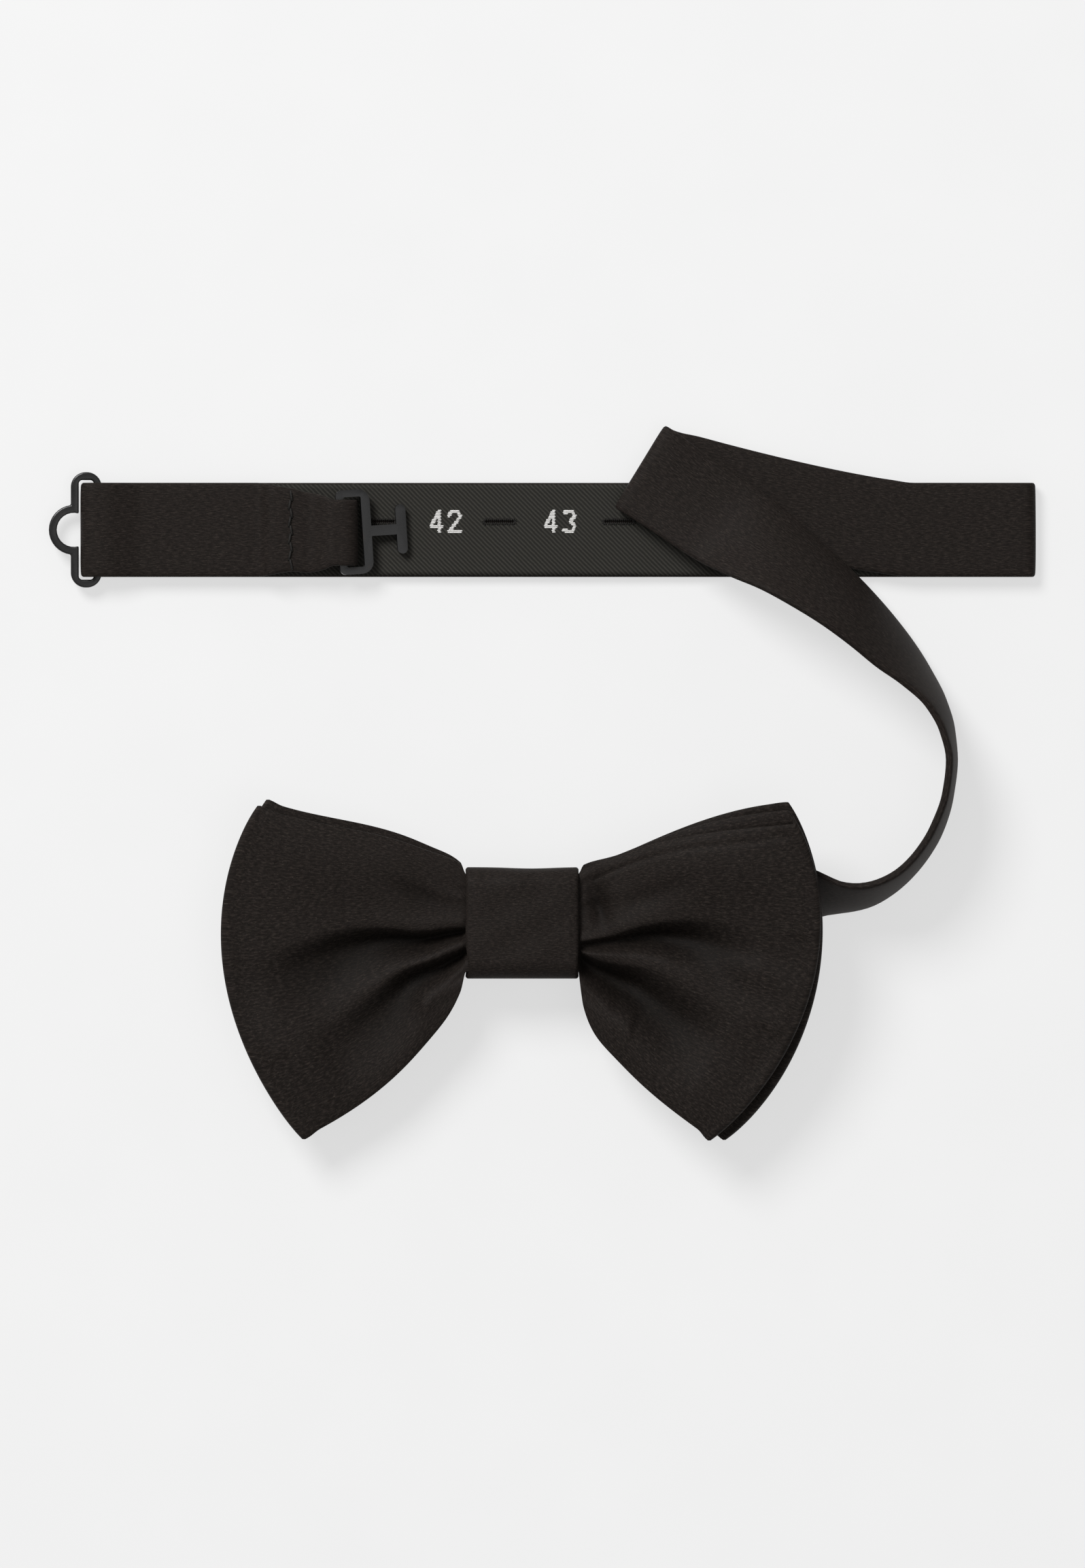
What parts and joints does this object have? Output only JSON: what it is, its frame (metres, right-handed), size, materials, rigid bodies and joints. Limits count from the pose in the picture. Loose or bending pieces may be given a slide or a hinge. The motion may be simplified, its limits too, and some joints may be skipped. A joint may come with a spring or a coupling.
{
  "type": "bow tie",
  "caption": "Pre-tied satin bow with a knot on an adjustable neck band, with a catch hook, an eye, a size tape with buttonholes and a T hook.",
  "frame": {"origin": "centre of the knot's flat back, on the table", "axes": "+X along the bow, +Y from the bow towards the straight part of the band, +Z away from the table towards the bow's front"},
  "size_m": [0.1658, 0.1201, 0.0207],
  "materials": {
    "satin": "black satin, fine weft-faced weave with a soft sheen",
    "lining": "matt dark twill, fine diagonal ribs",
    "interlining": "plain canvas, matt",
    "thread": "black sewing thread",
    "numerals": "white woven numerals",
    "fittings": "satin black paint on flat pressed wire"
  },
  "bodies": {
    "bow_and_band": {"bow_front": "satin", "bow_back": "satin", "knot_wrap": "satin", "neck_band": "satin", "bow_front_interlining": "interlining", "bow_back_interlining": "interlining", "neck_band_interlining": "interlining", "gather_tie": "thread", "size_tape": "lining", "buttonhole_1": "thread", "buttonhole_2": "thread", "buttonhole_3": "thread", "buttonhole_4": "thread", "buttonhole_5": "thread", "size_41_tens": "numerals", "size_41_units": "numerals", "size_42_tens": "numerals", "size_42_units": "numerals", "size_43_tens": "numerals", "size_43_units": "numerals", "size_44_tens": "numerals", "size_44_units": "numerals", "tab_stitches": "thread"},
    "turn": {"band_turn": "satin"},
    "tail": {"tail": "satin", "tail_stitches": "thread"},
    "eye": {"eye": "fittings"},
    "catch_hook": {"catch_hook": "fittings"},
    "t_hook": {"t_hook": "fittings"}
  },
  "joints": [
    {"name": "size_slide", "type": "slide", "parent": "bow_and_band", "child": "turn", "axis": [1, 0, 0], "range_m": [-0.01, 0.01], "deforming": ["band_turn"]},
    {"name": "tail_slide", "type": "slide", "parent": "turn", "child": "tail", "axis": [1, 0, 0], "range_m": [-0.01, 0.01]},
    {"name": "eye_swing", "type": "hinge", "parent": "turn", "child": "eye", "pos_m": [-0.0713, 0.066, 0.00235], "axis": [0, 1, 0], "range_deg": [-90, 90]},
    {"name": "t_hook_swing", "type": "hinge", "parent": "tail", "child": "t_hook", "pos_m": [-0.0304, 0.0655, 0.00425], "axis": [0.0645, -0.9979, 0], "range_deg": [0, 110]},
    {"name": "catch_hook_swing", "type": "hinge", "parent": "bow_and_band", "child": "catch_hook", "pos_m": [-0.03275, 0, 0.00235], "axis": [0, -1, 0], "range_deg": [0, 80]}
  ],
  "couplings": [
    {"joint": "tail_slide", "follows": "size_slide", "ratio": 1}
  ]
}
